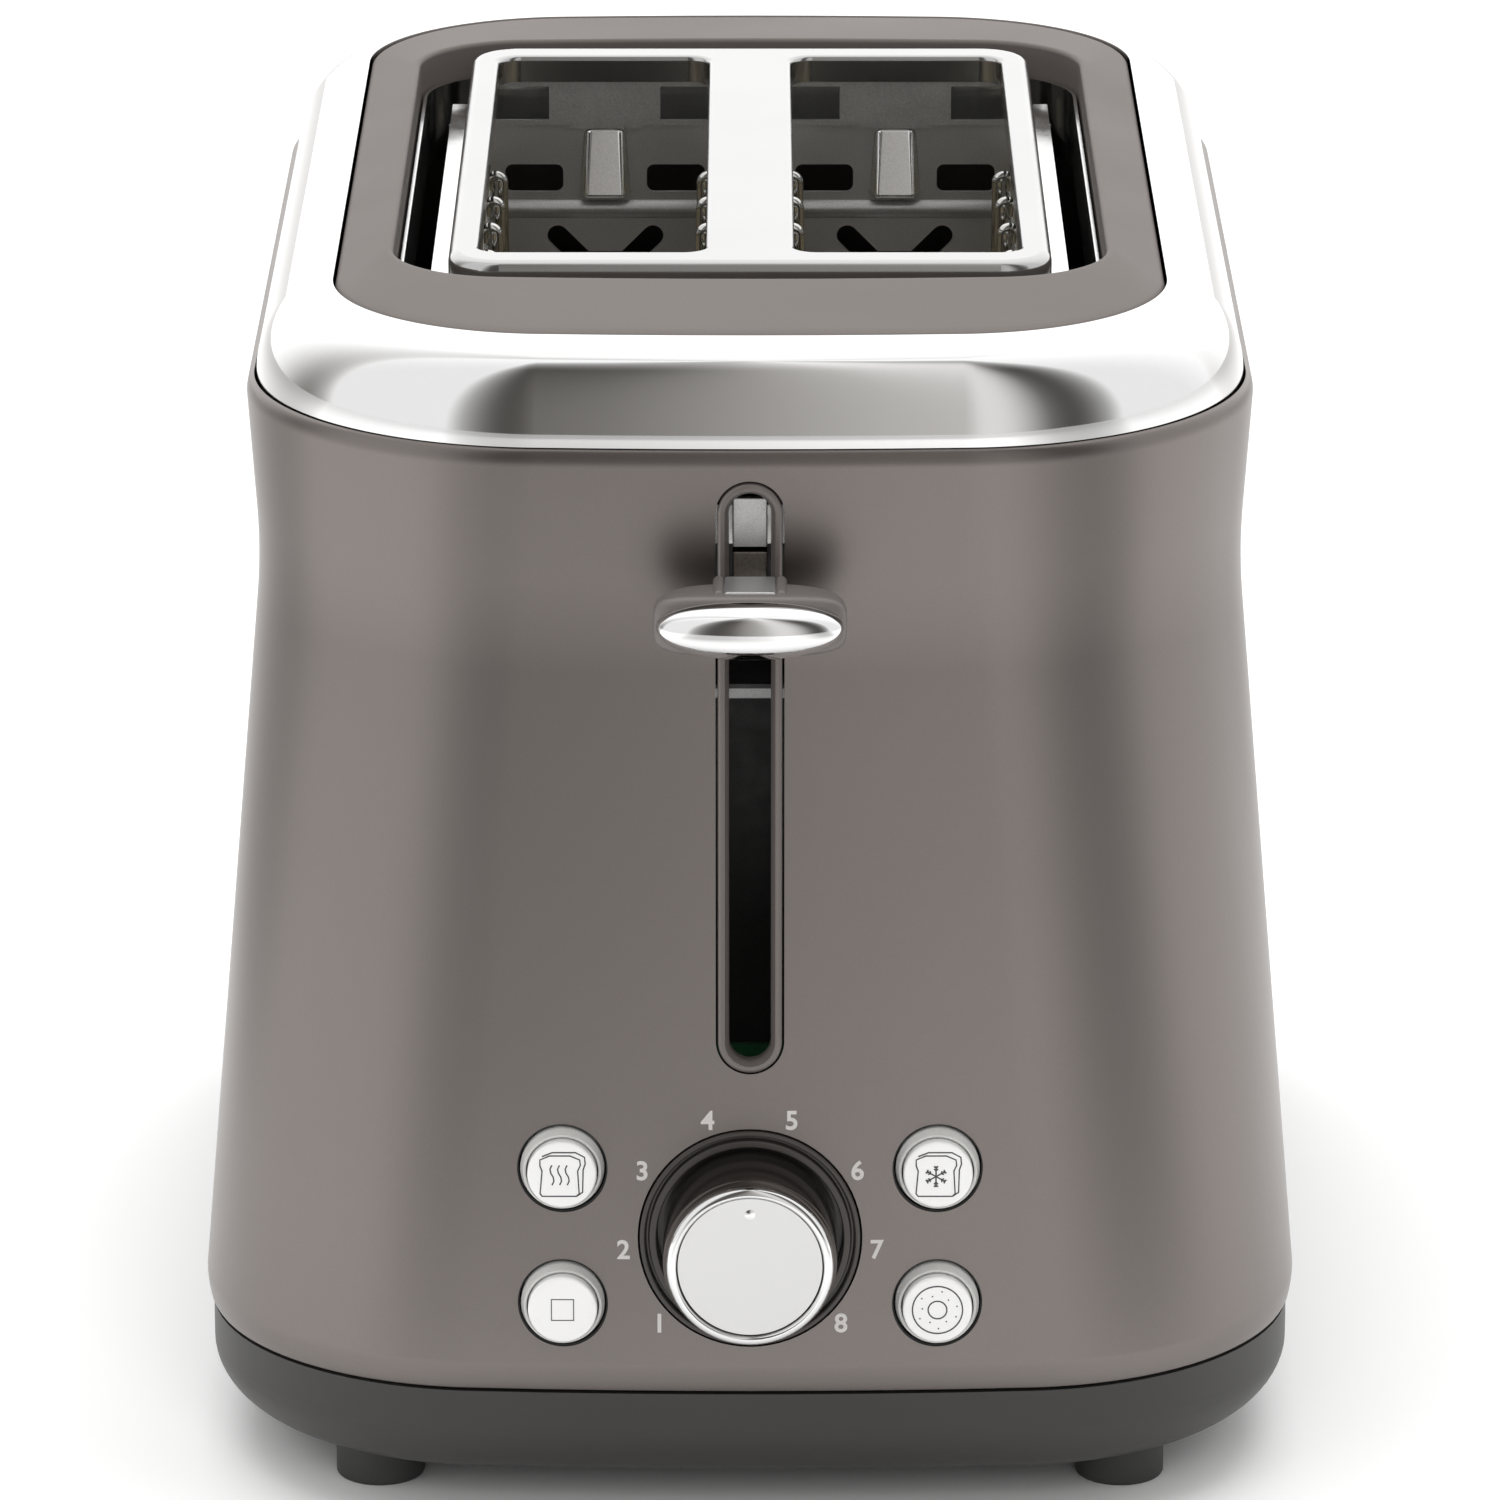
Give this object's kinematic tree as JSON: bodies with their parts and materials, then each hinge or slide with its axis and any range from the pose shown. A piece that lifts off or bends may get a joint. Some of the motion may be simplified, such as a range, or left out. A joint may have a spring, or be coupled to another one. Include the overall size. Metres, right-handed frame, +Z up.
{
  "type": "pop up toaster",
  "caption": "Pop up toaster with long side-by-side bread slots, a sliding lever, a browning knob and push buttons on one end.",
  "frame": {"origin": "on the floor plane under the middle of the body, in the plane of the feet's undersides", "axes": "+Z up, +Y to the rear, the lever and knob face -Y, +X to the right seen from the front"},
  "size_m": [0.1918, 0.3048, 0.21],
  "materials": {
    "shell_paint": "satin metallic",
    "chrome": "mirror",
    "ring_plastic": "fine matte",
    "frame_steel": "polished",
    "base_plastic": "matte",
    "foot_rubber": "matte",
    "galvanised_steel": "galvanised",
    "wire_steel": "drawn wire",
    "mica": "matte sheet",
    "ribbon": "oxidised ribbon",
    "knob_gloss": "dark gloss",
    "knob_face": "spun",
    "button_silver": "silver lacquer",
    "button_lens": "frosted, translucent",
    "trim_plastic": "satin",
    "board": "circuit board",
    "dark_plastic": "moulded",
    "copper": "enamelled winding",
    "nylon": "natural nylon"
  },
  "bodies": {
    "housing": {"base_screws": "galvanised_steel", "base_tray": "base_plastic", "board_components": "dark_plastic", "body_shell": "shell_paint", "button_carrier": "dark_plastic", "chrome_band": "chrome", "control_board": "board", "cord_gland": "dark_plastic", "frame_hangers": "galvanised_steel", "front_end_plate": "galvanised_steel", "guide_rods": "wire_steel", "heating_ribbons_centre": "ribbon", "heating_ribbons_outer": "ribbon", "knob_collar": "trim_plastic", "lever_slot_trim": "trim_plastic", "magnet_coil": "copper", "magnet_core": "galvanised_steel", "mica_boards_centre": "mica", "mica_boards_outer": "mica", "push_switches": "dark_plastic", "rear_end_plate": "galvanised_steel", "rod_brackets": "galvanised_steel", "rotary_control": "dark_plastic", "rubber_feet": "foot_rubber", "side_plate_left": "galvanised_steel", "side_plate_right": "galvanised_steel", "slot_frame": "frame_steel", "slot_well_liner": "galvanised_steel", "supply_leads": "dark_plastic", "terminal_block": "dark_plastic", "top_ring": "ring_plastic", "lift_springs": "wire_steel"},
    "carriage": {"carriage_plate": "galvanised_steel", "carriage_bushes": "nylon", "latch_armature": "galvanised_steel", "lever_arm": "frame_steel", "lever_handle": "ring_plastic", "handle_cap": "chrome", "bread_rack_left": "wire_steel", "bread_rack_right": "wire_steel"},
    "knob": {"knob_skirt": "knob_gloss", "knob_rim": "chrome", "knob_disc": "knob_face", "knob_pointer": "knob_face", "knob_shaft": "wire_steel"},
    "crumb_drawer": {"crumb_tray": "galvanised_steel", "crumb_tray_handle": "base_plastic"},
    "button_reheat": {"button_cap_reheat": "button_silver", "button_ring_reheat": "button_lens"},
    "button_defrost": {"button_cap_defrost": "button_silver", "button_ring_defrost": "button_lens"},
    "button_stop": {"button_cap_stop": "button_silver", "button_ring_stop": "button_lens"},
    "button_bagel": {"button_cap_bagel": "button_silver", "button_ring_bagel": "button_lens"},
    "guide_left_outer": {"bread_guide_left_outer": "wire_steel"},
    "guide_left_inner": {"bread_guide_left_inner": "wire_steel"},
    "guide_right_outer": {"bread_guide_right_outer": "wire_steel"},
    "guide_right_inner": {"bread_guide_right_inner": "wire_steel"}
  },
  "joints": [
    {"name": "lever_slide", "type": "slide", "parent": "housing", "child": "carriage", "axis": [0, 0, 1], "range_m": [-0.0735, 0.0125], "stiffness_N_per_m": 90, "springref_m": 0.0096, "deforming": ["lift_springs"]},
    {"name": "knob_turn", "type": "hinge", "parent": "housing", "child": "knob", "pos_m": [0, -0.14, 0.0533], "axis": [0, -1, 0], "range_deg": [-134, 134]},
    {"name": "button_reheat_press", "type": "slide", "parent": "housing", "child": "button_reheat", "axis": [0, 1, 0], "range_m": [0, 0.0015], "stiffness_N_per_m": 300, "springref_m": -0.002},
    {"name": "button_defrost_press", "type": "slide", "parent": "housing", "child": "button_defrost", "axis": [0, 1, 0], "range_m": [0, 0.0015], "stiffness_N_per_m": 300, "springref_m": -0.002},
    {"name": "button_stop_press", "type": "slide", "parent": "housing", "child": "button_stop", "axis": [0, 1, 0], "range_m": [0, 0.0015], "stiffness_N_per_m": 300, "springref_m": -0.002},
    {"name": "button_bagel_press", "type": "slide", "parent": "housing", "child": "button_bagel", "axis": [0, 1, 0], "range_m": [0, 0.0015], "stiffness_N_per_m": 300, "springref_m": -0.002},
    {"name": "crumb_tray_slide", "type": "slide", "parent": "housing", "child": "crumb_drawer", "axis": [0, 1, 0], "range_m": [0, 0.15]},
    {"name": "guide_left_outer_tilt", "type": "hinge", "parent": "housing", "child": "guide_left_outer", "pos_m": [-0.04633, 0, 0.058], "axis": [0, 1, 0], "range_deg": [-3.1, 3.1]},
    {"name": "guide_left_inner_tilt", "type": "hinge", "parent": "housing", "child": "guide_left_inner", "pos_m": [-0.00903, 0, 0.058], "axis": [0, 1, 0], "range_deg": [-3.1, 3.1]},
    {"name": "guide_right_outer_tilt", "type": "hinge", "parent": "housing", "child": "guide_right_outer", "pos_m": [0.04633, 0, 0.058], "axis": [0, 1, 0], "range_deg": [-3.1, 3.1]},
    {"name": "guide_right_inner_tilt", "type": "hinge", "parent": "housing", "child": "guide_right_inner", "pos_m": [0.00903, 0, 0.058], "axis": [0, 1, 0], "range_deg": [-3.1, 3.1]}
  ],
  "couplings": [
    {"joint": "guide_left_outer_tilt", "follows": "lever_slide", "rad_per_m": -0.7},
    {"joint": "guide_left_inner_tilt", "follows": "lever_slide", "rad_per_m": 0.7},
    {"joint": "guide_right_outer_tilt", "follows": "lever_slide", "rad_per_m": 0.7},
    {"joint": "guide_right_inner_tilt", "follows": "lever_slide", "rad_per_m": -0.7}
  ]
}
